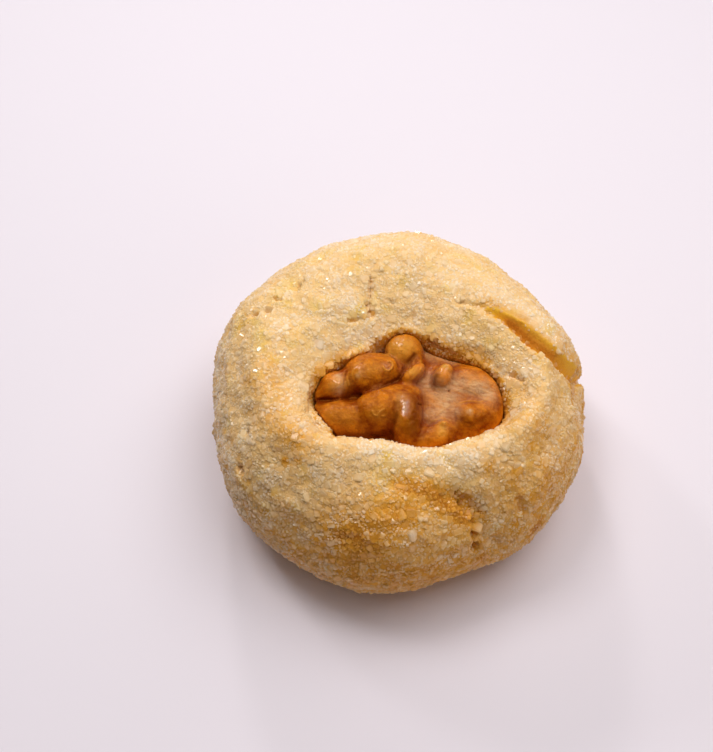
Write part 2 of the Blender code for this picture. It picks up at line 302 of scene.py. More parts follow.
# %% Note the walnut's ridges and creases
# Each row: the places, across and down in the frame, then half the width in mm and the strength
RIDGES = (
    ([(383, 367), (385, 370), (388, 371), (391, 369), (393, 365), (391, 362), (388, 361)], 0.11, 1.0),
    ([(372, 411), (374, 415), (377, 416), (380, 412), (384, 409)], 0.10, 0.8),
    ([(382, 416), (384, 416)], 0.10, 0.7),
    ([(356, 377), (370, 378), (388, 377)], 0.07, 0.4),
    ([(349, 372), (347, 378), (349, 385)], 0.12, 0.5),
    ([(354, 369), (352, 374), (354, 381)], 0.09, 0.4),
    ([(386, 347), (393, 350), (403, 350)], 0.09, 0.3),
    ([(455, 365), (472, 364), (486, 369), (495, 380)], 0.16, 0.6),
    ([(460, 403), (468, 401), (480, 402), (488, 398)], 0.12, 0.5),
    ([(425, 418), (433, 421), (442, 418), (450, 420)], 0.14, 0.5),
    ([(352, 406), (354, 413)], 0.12, 0.4),
    ([(450, 376), (468, 382), (488, 393)], 0.07, 0.35),
    ([(448, 384), (470, 391), (490, 401)], 0.07, 0.30),
    ([(456, 368), (476, 374), (492, 384)], 0.07, 0.30),
    ([(428, 392), (438, 400), (446, 412)], 0.07, 0.35),
    ([(436, 416), (446, 408), (452, 404)], 0.07, 0.35),
    ([(443, 424)], 0.26, 0.9),
    ([(442, 432)], 0.22, 0.7),
    ([(386, 337), (394, 333), (406, 332), (416, 336)], 0.12, 0.5),
    ([(421, 361), (421, 369), (412, 379)], 0.12, 0.5),
)
CREASES = (
    ([(318, 400), (335, 400), (350, 398), (360, 396), (377, 389), (398, 380), (402, 375)], 0.22, 1.0),
    ([(402, 376), (404, 371)], 0.20, 1.0),
    ([(404, 369), (409, 361), (415, 355)], 0.24, 0.7),
    ([(414, 335), (421, 343), (422, 352)], 0.10, 0.5),
    ([(411, 368), (417, 361)], 0.16, 0.4),
    ([(386, 352), (393, 357), (399, 366)], 0.22, 0.5),
    ([(424, 397), (425, 408), (421, 426)], 0.30, 0.35),
    ([(390, 432), (393, 437)], 0.20, 0.7),
    ([(433, 380), (436, 387), (445, 387)], 0.20, 0.25),
    ([(462, 420), (472, 425), (484, 419)], 0.30, 0.3),
    ([(397, 404), (395, 420), (392, 436)], 0.35, 0.5),
    ([(345, 374), (344, 384)], 0.10, 0.6),
    ([(418, 404), (422, 405)], 0.12, 0.8),
    ([(449, 391)], 0.10, 1.0),
)
SOFT = (
    ([(444, 378), (446, 366)], 1.8, 1.0),
    ([(470, 412)], 2.2, 1.0),
    ([(424, 398), (425, 424)], 0.8, 1.0),
    ([(340, 399)], 0.9, 1.0),
)
SWOLLEN = (
    ([(443, 375)], 1.1, 0.7),
    ([(469, 410)], 0.9, 0.5),
    ([(444, 424)], 0.4, 0.5),
    ([(338, 384)], 0.8, 0.5),
)
print("The walnut has", len(RIDGES), "ridges and", len(CREASES), "creases to draw")

# %% [markdown]
# ## The walnut's skin
#
# A finer remesh rounds off the solid's edges, and two faint cloud textures give the skin its uneven swell.
# Then the ridges stand up and the creases sink in. The skin stores how far each point lies in a fold or on
# a dome, because its colour depends on that: folds are painted darker as shade, domes lighter as light.

# %% Give the walnut a fine skin
WALNUT_VOXEL = 0.115 * MM
RIDGE_HEIGHT = 0.16 * MM
CREASE_DEPTH = 0.22 * MM
SWELLING = 0.5 * MM
# From where to where a point counts as lying in a fold or on a dome
FOLD_DEPTH = (0.03 * MM, 0.20 * MM)
DOME_HEIGHT = (-0.15 * MM, 0.30 * MM)

walnut = merged_copy("walnut", "walnut_half")
apply_modifier(walnut, "REMESH", mode="VOXEL", voxel_size=WALNUT_VOXEL)
keep_main_part(walnut)
smooth(walnut, rounds=16)
soft_group = weight_group(walnut, "soft", marked(tree_of(walnut), SOFT, points_of(walnut)))
smooth(walnut, rounds=60, group=soft_group)
roughen(walnut, "kernel_swell", size=1.3 * MM, height=0.22 * MM)
roughen(walnut, "kernel_wrinkles", size=0.5 * MM, height=0.06 * MM)
walnut_tree = tree_of(walnut)
walnut_places = points_of(walnut)
ridge_share = marked(walnut_tree, RIDGES, walnut_places)
crease_share = marked(walnut_tree, CREASES, walnut_places)
ridge_group = weight_group(walnut, "ridges", ridge_share)
crease_group = weight_group(walnut, "creases", crease_share)
swollen_group = weight_group(walnut, "swollen", marked(walnut_tree, SWOLLEN, walnut_places))
push(walnut, SWELLING, swollen_group)
push(walnut, RIDGE_HEIGHT, ridge_group)
push(walnut, -CREASE_DEPTH, crease_group)
# These shares paint shade into the folds and light onto the domes.
fold_share = smooth_step(filling(walnut, rounds=70), *FOLD_DEPTH)
store(walnut, "dome", smooth_step(-filling(walnut, rounds=300), *DOME_HEIGHT))
store(walnut, "ridge", ridge_share)
store(walnut, "fold", np.maximum(fold_share, crease_share))
select_only(walnut)
bpy.ops.object.shade_smooth()
walnut_tree = tree_of(walnut)
print("The walnut has", triangles_in(walnut), "triangles")

# %% [markdown]
# ## The dough
#
# The solid has the dough's form but its faces are more than a millimetre wide. Voxel remeshing covers it
# evenly with small faces, and a little smoothing takes away the voxels' steps and the solid's facets.

# %% Cover the dough with small faces
DOUGH_VOXEL = 0.275 * MM
dough = merged_copy("dough", "baked_dough")
apply_modifier(dough, "REMESH", mode="VOXEL", voxel_size=DOUGH_VOXEL)
keep_main_part(dough)
smooth(dough, rounds=5)
print("The dough has", triangles_in(dough), "triangles")

# %% [markdown]
# ## Where the crust differs
#
# A crust isn't the same all over. Some places are toasted, some are bare of sugar, some are thick with it,
# and there are pits and hairline cracks. Each such place is noted by where the photographer's camera sees
# it, in pixels of the frame. A ray from the camera finds its point on the dough.

# %% Note the marks on the crust
SPECK = (284, 461)
# Each row: the places, across and down in the frame, then the radius in mm and the strength
# The rows beside the pocket, on its left and right slopes and on its back wall, darken the dish where shade
# falls: painted shade, partly browning. The other rows are toasted specks and patches.
TOAST_AND_SHADE_MARKS = (
    ([SPECK], 0.50, 0.95),
    ([(298, 461)], 0.45, 0.85),
    ([(284, 461), (298, 462)], 1.6, 0.2),
    ([(250, 378), (262, 390)], 1.3, 0.35),
    ([(268, 366), (274, 386), (288, 412)], 2.4, 0.30),
    ([(272, 415), (300, 440)], 2.6, 0.40),
    ([(540, 420), (548, 450), (540, 480)], 3.5, 0.28),
    ([(277, 298)], 0.35, 0.6),
    ([(257, 313)], 0.30, 0.4),
    ([(371, 312)], 0.50, 0.7),
    ([(352, 320)], 0.35, 0.5),
    ([(517, 473)], 0.8, 0.7),
    ([(491, 468)], 1.2, 0.5),
    ([(545, 466)], 1.2, 0.45),
    ([(534, 445)], 1.6, 0.4),
    ([(505, 480), (535, 490)], 3.4, 0.25),
    ([(384, 514), (380, 530)], 1.6, 0.7),
    ([(405, 512), (378, 525), (352, 535)], 3.8, 0.75),
    ([(350, 570), (400, 580), (430, 575)], 4.0, 0.22),
    ([(512, 378), (522, 400), (515, 420)], 2.6, 0.20),
    ([(430, 340), (450, 347), (468, 352), (486, 362)], 0.9, 0.6),
    ([(316, 374), (330, 363), (348, 354)], 0.9, 0.5),
    ([(482, 559)], 1.2, 0.5),
    ([(535, 529)], 1.3, 0.5),
    ([(405, 487), (425, 493), (441, 503), (452, 508), (466, 517)], 1.8, 0.90),
    ([(450, 507)], 0.6, 0.9),
    ([(462, 516)], 0.6, 0.9),
    ([(480, 514)], 0.6, 0.9),
    ([(476, 524), (476, 550)], 0.6, 0.6),
    (
        [(486, 306), (502, 311), (514, 321), (526, 329), (540, 340), (554, 355), (568, 367), (580, 378)],
        1.2,
        0.5,
    ),
)
PALE = (
    ([(372, 440), (395, 450), (425, 456), (460, 458)], 2.4, 0.6),
    ([(367, 335)], 2.0, 0.7),
    ([(318, 345)], 0.9, 0.9),
    ([(340, 245), (365, 240)], 2.6, 0.4),
    ([(222, 350), (218, 400), (224, 450), (238, 500)], 3.0, 0.5),
    ([(466, 495), (480, 505)], 1.6, 0.4),
    ([(414, 535)], 0.7, 0.9),
    ([(414, 548)], 0.7, 0.9),
    ([(340, 300), (355, 315)], 2.4, 0.4),
    ([(498, 290), (522, 306), (546, 330), (566, 350)], 2.4, 0.9),
)
YELLOW = (
    ([(318, 306)], 1.1, 0.8),
    ([(356, 257)], 1.0, 0.7),
    ([(258, 332), (262, 345)], 1.0, 0.8),
    ([(387, 462), (383, 476)], 1.3, 0.7),
    ([(404, 280)], 1.2, 0.6),
    ([(484, 309), (500, 314)], 1.2, 0.3),
    ([(300, 330)], 2.6, 0.3),
    ([(385, 478), (420, 486), (450, 500), (466, 512)], 2.0, 0.8),
    ([(278, 300), (285, 282)], 1.2, 0.6),
    ([(350, 318), (372, 300)], 1.0, 0.4),
    ([(236, 330), (240, 318)], 1.0, 0.6),
    ([(448, 446)], 1.0, 0.5),
)
TORN_TOASTED = (
    ([(509, 323), (518, 331), (528, 340), (540, 348), (552, 357)], 0.8, 0.8),
    ([(504, 324), (510, 326)], 0.5, 1.0),
    ([(516, 328), (532, 338), (546, 350), (558, 364)], 1.6, 0.35),
)
# The far lip of the tear, which is rounded
FAR_LIP = (
    (
        [(487, 304), (503, 309), (515, 319), (528, 328), (542, 339), (556, 353), (570, 365), (581, 377)],
        1.3,
        1.0,
    ),
)
# The front crack, which is soft and shallow
SOFT_CRACK = (
    ([(415, 484), (440, 492), (458, 498), (474, 509), (482, 513)], 2.2, 1.0),
)
# Where the sugar is fine
FINE = (
    ([(480, 268), (505, 292), (532, 316), (558, 342), (578, 366)], 3.2, 1.0),
    ([(330, 262), (380, 250), (430, 250)], 3.0, 0.5),
)
# Where it has fallen off
BARE = (
    ([(492, 305), (505, 309), (517, 318), (530, 327), (543, 337), (556, 350), (569, 363)], 0.9, 1.0),
    ([(411, 487), (434, 494), (450, 504), (464, 516)], 0.9, 0.9),
    ([(533, 528), (538, 531)], 0.9, 0.9),
    ([(318, 306)], 0.7, 0.6),
    ([(260, 338)], 0.7, 0.6),
)
# Cracks and pits: the radius is half their width, and the strength says how deep they go
PITS = (
    ([(464, 511), (470, 515)], 0.40, 0.8),
    ([(478, 513)], 0.40, 0.7),
    ([(475, 522), (476, 526)], 0.36, 0.9),
    ([(475, 533), (476, 539)], 0.40, 1.2),
    ([(475, 547), (476, 550)], 0.34, 1.0),
    ([(476, 514), (475, 550)], 0.30, 0.6),
    ([(432, 508)], 0.24, 0.6),
    ([(448, 508)], 0.24, 0.6),
    ([(411, 488), (434, 495), (452, 504), (464, 514)], 0.6, 0.25),
    ([(311, 398), (314, 410), (322, 424), (332, 433), (350, 435), (366, 436)], 0.8, 0.45),
    ([(492, 541), (497, 545)], 0.6, 0.5),
    ([(519, 500), (523, 513)], 0.5, 0.5),
    ([(238, 468), (240, 473)], 0.35, 0.7),
    ([(246, 432)], 0.30, 0.6),
    ([(275, 298), (279, 298)], 0.27, 1.1),
    ([(252, 314), (258, 313)], 0.23, 1.0),
    ([(265, 310), (268, 310)], 0.26, 0.5),
    ([(296, 287), (298, 283)], 0.28, 1.0),
    ([(303, 280)], 0.24, 0.5),
    ([(372, 277), (371, 292), (369, 303)], 0.28, 0.8),
    ([(369, 303), (372, 314)], 0.40, 1.2),
    ([(349, 320), (355, 321), (361, 318)], 0.22, 0.6),
    ([(375, 472), (405, 484), (440, 497), (465, 512)], 2.6, 0.5),
    ([(388, 301), (394, 303)], 0.20, 0.3),
    ([(376, 466), (379, 467)], 0.28, 0.5),
    ([(383, 480), (389, 481)], 0.28, 0.5),
    ([(508, 374), (522, 380)], 0.30, 0.5),
    ([(484, 307), (472, 304), (460, 301)], 0.20, 0.4),
)
print("The crust has", len(TOAST_AND_SHADE_MARKS), "toasted places and", len(PITS), "cracks and pits")

# %% [markdown]
# ## Soften the lip and the crack
#
# The far lip of the tear rose and rounded as it baked, and the front crack is only a soft valley. Both are
# edges in the solid, so they are smoothed here, most of all along their middle line.

# %% Smooth two edges of the dough
dough_tree = tree_of(dough)
lip_group = weight_group(dough, "far_lip", marked(dough_tree, FAR_LIP, points_of(dough)))
smooth(dough, rounds=30, group=lip_group)
crack_group = weight_group(dough, "soft_crack", marked(dough_tree, SOFT_CRACK, points_of(dough)))
smooth(dough, rounds=60, group=crack_group)
dough_tree = tree_of(dough)
print("The camera sees the toasted speck at", [round(c / MM, 1) for c in seen_at(dough_tree, *SPECK)])

# %% [markdown]
# ## Inside the tear and round the walnut
#
# Sugar sticks only to what was the outside of the ball. The walls of the tear opened later, in the oven,
# so they are smooth, bare dough. They are found by their direction: near the tear the crust faces upwards
# or to the right, and its two walls face forwards and backwards. Where the dough almost touches the walnut,
# in a narrow moat, it is darker, partly browned and partly painted shade in the gap, and has less sugar.

# %% Find the torn walls and the moat
TEAR_LINE = ((486, 309), (500, 316), (514, 326), (528, 338), (541, 350), (554, 362), (566, 373), (576, 384))
TEAR_REACH = 3.0 * MM
WALL_STEEPNESS = (0.20, 0.62)
WALL_NEARNESS = (0.0, 0.3)
MOAT_WIDTH = (0.35 * MM, 1.3 * MM)


def torn_share(tree, places, directions):
    """1 on the two walls of the tear, which face forwards and backwards, and 0 on the crust."""
    nearness = np.zeros(len(places))
    for across, down in TEAR_LINE:
        away = np.linalg.norm(places - np.array(seen_at(tree, across, down)), axis=1)
        nearness = np.maximum(nearness, 1 - away / TEAR_REACH)
    steepness = np.abs(directions[:, 1])
    return smooth_step(steepness, *WALL_STEEPNESS) * smooth_step(nearness, *WALL_NEARNESS)


def moat_share(places):
    """1 where the dough almost touches the walnut, 0 further away."""
    away = np.full(len(places), MOAT_WIDTH[1])
    for index, place in enumerate(places):
        found = walnut_tree.find_nearest(Vector(place), MOAT_WIDTH[1])
        if found[0] is not None:
            away[index] = found[3]
    return 1 - smooth_step(away, *MOAT_WIDTH)


print("The tear is followed through", len(TEAR_LINE), "places")

# %% [markdown]
# ## Every place of the crust
#
# One function tells what any place of the crust is like, from the marks above and from smooth noise. The
# dough stores the answer for its material, and the grains of sugar ask for it again where they land.
# The sides of the ball are darker than its top, and its right side darker than its left: partly toasting,
# partly painted shade where the light reaches less.

# %% Work out what each place is like
SIDEWAYS = (0.25, 0.9)
RIGHTWARDS = (-20 * MM, 12 * MM)
# How much of the front counts with the right side
FRONT_SHARE = 0.6
FOOT_HEIGHT = (0.5 * MM, 6 * MM)
# How much each cause adds to the toasting, which also carries painted shade on the sides and by the walnut
PATCHY_TOAST = 0.14
SIDE_SHADE_AND_TOAST = 0.22
RIGHT_SHADE_AND_TOAST = 0.26
MOTTLED_TOAST = 0.08
MOTTLED_SIDE_TOAST = 0.24
FOOT_TOAST = 0.10
MOAT_SHADE_AND_TOAST = 0.40
WALL_TOAST = 0.10
# How strongly the noise makes patches pale or yellow, and how yellow the torn walls are
PATCHY_PALE = 0.5
PATCHY_YELLOW = 0.6
WALL_YELLOW = 0.8
KEPT_MARKS = ("toast_and_shade", "pale", "yellow", "torn")


def crust_marks(places, directions):
    """What every place of the crust is like, as a dictionary of numbers from 0 to 1."""
    torn = torn_share(dough_tree, places, directions)
    moat = moat_share(places)
    sideways = 1 - smooth_step(directions[:, 2], *SIDEWAYS)
    rightwards = smooth_step(places[:, 0] - FRONT_SHARE * places[:, 1], *RIGHTWARDS)
    toast_and_shade = marked(dough_tree, TOAST_AND_SHADE_MARKS, places)
    toast_and_shade += PATCHY_TOAST * smooth_step(noise_at(places, size=3.4 * MM, seed=1), 0.1, 0.6)
    # Sides, and the right side more, are darker: partly toasting, partly painted shade where the light
    # reaches less.
    toast_and_shade += sideways * (SIDE_SHADE_AND_TOAST + RIGHT_SHADE_AND_TOAST * rightwards)
    toast_and_shade += (MOTTLED_TOAST + MOTTLED_SIDE_TOAST * sideways) * noise_at(places, size=1.6 * MM, seed=4)
    toast_and_shade += FOOT_TOAST * (1 - smooth_step(places[:, 2], *FOOT_HEIGHT))
    # Next to the walnut the dough is darker: partly browning, partly painted shade in the narrow gap.
    toast_and_shade += MOAT_SHADE_AND_TOAST * moat
    pale = marked(dough_tree, PALE, places)
    pale = pale + PATCHY_PALE * smooth_step(noise_at(places, size=2.6 * MM, seed=2), 0.0, 0.5)
    yellow = marked(dough_tree, YELLOW, places)
    yellow = yellow + PATCHY_YELLOW * smooth_step(noise_at(places, size=2.2 * MM, seed=3), 0.15, 0.6)
    toast_and_shade = toast_and_shade * (1 - torn) + torn * (WALL_TOAST + marked(dough_tree, TORN_TOASTED, places))
    yellow = np.maximum(yellow, WALL_YELLOW * torn)
    bare = np.maximum(marked(dough_tree, BARE, places), torn)
    return {
        "toast_and_shade": np.clip(toast_and_shade, 0, 1),
        "pale": np.clip(pale, 0, 1),
        "yellow": np.clip(yellow, 0, 1),
        "bare": np.clip(bare, 0, 1),
        "torn": torn,
        "moat": moat,
        "fine": marked(dough_tree, FINE, places),
    }


dough_places = points_of(dough)
dough_directions = directions_of(dough)
marks = crust_marks(dough_places, dough_directions)
for name, values in marks.items():
    print("Mark", name, "covers", round(100 * float(values.mean()), 1), "percent of the dough")
for name in KEPT_MARKS:
    store(dough, name, marks[name])

# %% [markdown]
# ## The crumb
#
# Displace modifiers push the surface in and out along its own direction. Two read cloud textures, a coarse
# one for the lumps that fingers leave and a fine one for the crumb. The others have no texture: one makes
# room for the sugar, one presses the pits in, as deep as their vertex group says, and one brings the dough
# up to the walnut. The underside stays flat, so that the cookie rests, and its many small faces are
# dissolved into large ones.

# %% Roughen the crust and press in the pits
UNDERSIDE_FADE = (0.2 * MM, 1.2 * MM)
WALL_CALM = 0.7
ROOM_FOR_SUGAR = 0.2 * MM
PIT_DEPTH = 0.9 * MM
MOAT_RISE = 0.40 * MM
FLAT_ENOUGH = math.radians(0.5)

outside = smooth_step(dough_places[:, 2], *UNDERSIDE_FADE)
moat_group = weight_group(dough, "moat", marks["moat"])
crust_group = weight_group(dough, "crust", outside * (1 - WALL_CALM * marks["torn"]))
pit_group = weight_group(dough, "pits", marked(dough_tree, PITS, dough_places))
roughen(dough, "finger_lumps", size=2.4 * MM, height=0.55 * MM, group=crust_group)
roughen(dough, "crumb", size=0.7 * MM, height=0.24 * MM, group=crust_group)
push(dough, -ROOM_FOR_SUGAR, crust_group)
push(dough, -PIT_DEPTH, pit_group)
push(dough, MOAT_RISE, moat_group)
apply_modifier(dough, "DECIMATE", decimate_type="DISSOLVE", angle_limit=FLAT_ENOUGH)
select_only(dough)
bpy.ops.object.shade_smooth()
dough_tree = tree_of(dough)
print("The crust now reaches", round(points_of(dough)[:, 2].max() / MM, 2), "mm high")
print("The dough now has", triangles_in(dough), "triangles")

# %% [markdown]
# ## Grains of sugar
#
# Coarse sugar is small blocks with broken edges. Three grains are modelled: a block with bevelled
# edges, a six-sided chip and a plain crumb. Each has few faces, because thousands of copies follow.

# %% Model three grains
def finished_grain(name):
    """Takes the grain that was just added out of the scene and keeps its points and faces."""
    grain = bpy.context.active_object
    bpy.ops.object.mode_set(mode="EDIT")
    bpy.ops.mesh.select_all(action="SELECT")
    bpy.ops.mesh.quads_convert_to_tris()
    bpy.ops.object.mode_set(mode="OBJECT")
    shape = points_of(grain), np.array([face.vertices for face in grain.data.polygons])
    print("A", name, "has", len(shape[1]), "faces")
    bpy.data.objects.remove(grain)
    return shape


def block_grain():
    bpy.ops.mesh.primitive_cube_add(size=1)
    bpy.ops.object.mode_set(mode="EDIT")
    bpy.ops.mesh.select_all(action="SELECT")
    bpy.ops.mesh.bevel(offset=0.16, segments=1)
    bpy.ops.object.mode_set(mode="OBJECT")
    return finished_grain("block")


def chip_grain():
    bpy.ops.mesh.primitive_cylinder_add(vertices=6, radius=0.56, depth=0.8)
    return finished_grain("chip")


def crumb_grain():
    bpy.ops.mesh.primitive_cube_add(size=0.9)
    return finished_grain("crumb")


bpy.ops.object.select_all(action="DESELECT")
BLOCK = block_grain()
CHIP = chip_grain()
CRUMB = crumb_grain()

# %% [markdown]
# ## Scatter the grains
#
# Grains can't overlap much, so each new one is kept only if it has room. A grid of cells finds its
# neighbours fast: a cell is as wide as the room of the largest grain that is drawn. The big grains go
# first, and smaller ones fill what is left. Every draw comes from one seeded generator, so the cookie is
# the same each time.

# %% Tools for finding room
GRID_CELL = 0.75 * MM
AROUND = [(x, y, z) for x in (-1, 0, 1) for y in (-1, 0, 1) for z in (-1, 0, 1)]
SEED = 23
draws = np.random.default_rng(SEED)


def face_corners(piece):
    piece.data.calc_loop_triangles()
    corners = np.empty(len(piece.data.loop_triangles) * 3, np.int32)
    piece.data.loop_triangles.foreach_get("vertices", corners)
    return corners.reshape(-1, 3)


def random_places(piece, count):
    """Places spread evenly over a piece's surface, each with the surface's direction there."""
    corners = face_corners(piece)
    places, directions = points_of(piece), directions_of(piece)
    a, b, c = (places[corners[:, side]] for side in range(3))
    areas = np.linalg.norm(np.cross(b - a, c - a), axis=1)
    chosen = draws.choice(len(corners), count, p=areas / areas.sum())
    first, second = draws.random((2, count))
    folded = first + second > 1
    first[folded], second[folded] = 1 - first[folded], 1 - second[folded]
    shares = np.stack([1 - first - second, first, second], axis=1)[:, :, None]
    picked = corners[chosen]
    found = (places[picked] * shares).sum(axis=1)
    ways = (directions[picked] * shares).sum(axis=1)
    return found, ways / np.linalg.norm(ways, axis=1)[:, None]


def has_room(place, room, cell, cells):
    """Whether a grain keeps its room to those that lie in the cells around it."""
    for step in AROUND:
        key = (cell[0] + step[0], cell[1] + step[1], cell[2] + step[2])
        for other, other_room in cells.get(key, ()):
            x, y, z = place[0] - other[0], place[1] - other[1], place[2] - other[2]
            apart = (room + other_room) / 2
            if x * x + y * y + z * z < apart * apart:
                return False
    return True


def sift(places, rooms, cells):
    """The places that have room, taken in order. Each one that stays takes up its own room."""
    kept = []
    for index, cell in enumerate(np.floor(places / GRID_CELL).astype(int).tolist()):
        place, room = places[index].tolist(), float(rooms[index])
        if has_room(place, room, cell, cells):
            kept.append(index)
            cells.setdefault(tuple(cell), []).append((place, room))
    return np.array(kept)


print("A grain looks for neighbours in", len(AROUND), "cells")

# %% [markdown]
# ## Which grains lie where
#
# A few large crystals lie where the photographer's camera sees them. All the others are drawn: they are
# rare on the torn walls, in bare places and beside the walnut, and missing from the underside.

# %% Lay the grains
# Large crystals that stand out: across and down in the frame, and the size in mm
LARGE_GRAINS = (
    (303, 386, 1.7),
    (309, 396, 1.3),
    (300, 377, 1.1),
    (314, 379, 1.0),
    (320, 370, 1.3),
    (329, 363, 1.4),
    (338, 357, 1.1),
    (347, 353, 1.0),
    (356, 350, 1.0),
    (366, 347, 0.9),
    (372, 340, 0.9),
    (318, 344, 1.4),
    (367, 333, 1.3),
    (357, 336, 1.1),
    (348, 340, 1.0),
    (376, 328, 1.0),
    (340, 332, 1.0),
    (384, 320, 1.0),
    (510, 384, 1.2),
    (514, 393, 1.1),
    (515, 404, 0.9),
    (513, 422, 1.0),
    (414, 535, 1.4),
    (414, 548, 1.2),
    (444, 537, 1.2),
    (434, 549, 1.1),
    (458, 532, 1.2),
    (395, 550, 1.1),
    (372, 556, 1.0),
    (411, 498, 1.0),
    (470, 503, 1.2),
    (463, 497, 1.2),
    (471, 508, 0.9),
    (408, 470, 1.0),
    (440, 470, 1.1),
    (421, 462, 1.0),
    (491, 316, 0.6),
    (499, 321, 0.7),
    (506, 326, 0.6),
    (513, 332, 0.7),
    (520, 338, 0.6),
    (527, 344, 0.7),
    (534, 350, 0.6),
    (541, 355, 0.8),
    (548, 360, 0.6),
    (555, 365, 0.7),
    (560, 371, 0.6),
    (566, 377, 0.7),
)
# Each kind: its shape, its size in mm, how many are tried, how much of its size it keeps for itself,
# the most that stay, and how many of them are missing where the sugar is fine
KINDS = {
    "sugar_lumps": (BLOCK, (0.72, 1.15), 5200, 0.62, 1300, 1.0),
    "sugar_blocks": (BLOCK, (0.44, 0.68), 14000, 0.80, 4500, 1.0),
    "sugar_chips": (CHIP, (0.34, 0.50), 50000, 0.72, 9900, 1.0),
    "sugar_crumbs": (CRUMB, (0.24, 0.38), 110000, 0.68, 16500, 0.8),
}
# How much less likely a grain is to stay: on the torn walls, in bare places and beside the walnut
LOST_ON_WALLS = 0.97
LOST_WHERE_BARE = 0.75
LOST_IN_MOAT = 0.45
LOWEST_GRAIN = 0.25 * MM
FACING_DOWN = -0.93
# The nearest that a grain's middle comes to the walnut, as a share of the grain's size
WALNUT_CLEARANCE = 0.6


def keep_chance(found, places, directions, missing):
    """How likely a grain stays at a place: none underneath, hardly any in the tear, few by the walnut."""
    chance = 1 - LOST_ON_WALLS * found["torn"] - LOST_WHERE_BARE * found["bare"] * (1 - found["torn"])
    chance -= LOST_IN_MOAT * found["moat"]
    chance *= 1 - missing * found["fine"]
    chance[places[:, 2] < LOWEST_GRAIN] = 0
    chance[directions[:, 2] < FACING_DOWN] = 0
    return chance


def lay_grains(cells):
    """For every kind: places, directions, sizes and marks of the grains that found room.

    The large grains take the first places of their kind.
    """
    laid = {}
    for name, (_, (smallest, largest), tries, share, most, missing) in KINDS.items():
        places, directions = random_places(dough, tries)
        found = crust_marks(places, directions)
        staying = draws.random(tries) < keep_chance(found, places, directions, missing)
        sizes = draws.uniform(smallest, largest, tries) * MM
        for index in np.flatnonzero(staying):
            apart = walnut_tree.find_nearest(Vector(places[index]))[3]
            if apart < sizes[index] * WALNUT_CLEARANCE:
                staying[index] = False
        if name == "sugar_lumps":
            first = len(LARGE_GRAINS)
            places[:first] = [seen_at(dough_tree, across, down) for across, down, _ in LARGE_GRAINS]
            directions[:first] = [dough_tree.find_nearest(Vector(place))[1] for place in places[:first]]
            sizes[:first] = [size * MM for _, _, size in LARGE_GRAINS]
            found = crust_marks(places, directions)
            staying[:first] = True
        chosen = np.flatnonzero(staying)
        chosen = chosen[sift(places[chosen], sizes[chosen] * share, cells)][:most]
        laid[name] = (
            places[chosen],
            directions[chosen],
            sizes[chosen],
            {mark: values[chosen] for mark, values in found.items()},
        )
        print(name, "keeps", len(chosen), "grains")
    return laid


grain_cells = {}
laid_grains = lay_grains(grain_cells)

# %% [markdown]
# ## Turn places into grains
#
# Each kind of grain becomes one mesh. Its copies are turned at random, stretched a little and sunk into
# the dough by about a quarter; the large lumps lie flat in the crust. All corners are worked out in one go
# with arrays, which is quick. Each grain also stores how toasted and shaded the dough is under it, a number
# of its own and how far each corner stands out of the dough, for its colour and the painted shade at its
# foot.
#
# Light that enters a clear grain spreads inside it, so its facets look almost evenly bright. The normals
# that shade them are therefore bent: a little of each facet's own direction, and more of the crust's.

# %% Build one mesh for each kind of grain
SUNK_SHARE = 0.27
BENT_SHARE = 0.68
LUMP_TILT = 0.25
LUMP_THICKNESS = 0.7
STRETCH = (0.75, 1.2)
FLOOR_GAP = 0.03 * MM
# How far a corner stands out of the dough, as a share of its grain's size: at its foot and at its top
FOOT_AND_TOP = (-0.05, 0.30)


def random_turns(count):
    """Random rotations, from random unit quaternions."""
    w, x, y, z = draws.normal(size=(4, count))
    length = np.sqrt(w * w + x * x + y * y + z * z)
    w, x, y, z = w / length, x / length, y / length, z / length
    rows = [
        [1 - 2 * (y * y + z * z), 2 * (x * y - w * z), 2 * (x * z + w * y)],
        [2 * (x * y + w * z), 1 - 2 * (x * x + z * z), 2 * (y * z - w * x)],
        [2 * (x * z - w * y), 2 * (y * z + w * x), 1 - 2 * (x * x + y * y)],
    ]
    return np.moveaxis(np.array(rows), 2, 0)


def flat_turns(directions):
    """Rotations that lay a grain nearly flat on the surface, spun at random."""
    up = directions + draws.normal(size=directions.shape) * LUMP_TILT
    up /= np.linalg.norm(up, axis=1)[:, None]
    side = np.cross(up, draws.normal(size=directions.shape))
    side /= np.linalg.norm(side, axis=1)[:, None]
    return np.stack([side, np.cross(up, side), up], axis=2)


def bend_normals(piece, directions):
    """Shades each grain's facets partly as if they faced the way the crust does."""
    faces = piece.data.polygons
    own = np.empty(len(faces) * 3)
    faces.foreach_get("normal", own)
    crust = np.repeat(directions, len(faces) // len(directions), axis=0)
    bent = own.reshape(-1, 3) * (1 - BENT_SHARE) + crust * BENT_SHARE
    bent /= np.linalg.norm(bent, axis=1)[:, None]
    piece.data.normals_split_custom_set(np.repeat(bent, 3, axis=0).tolist())


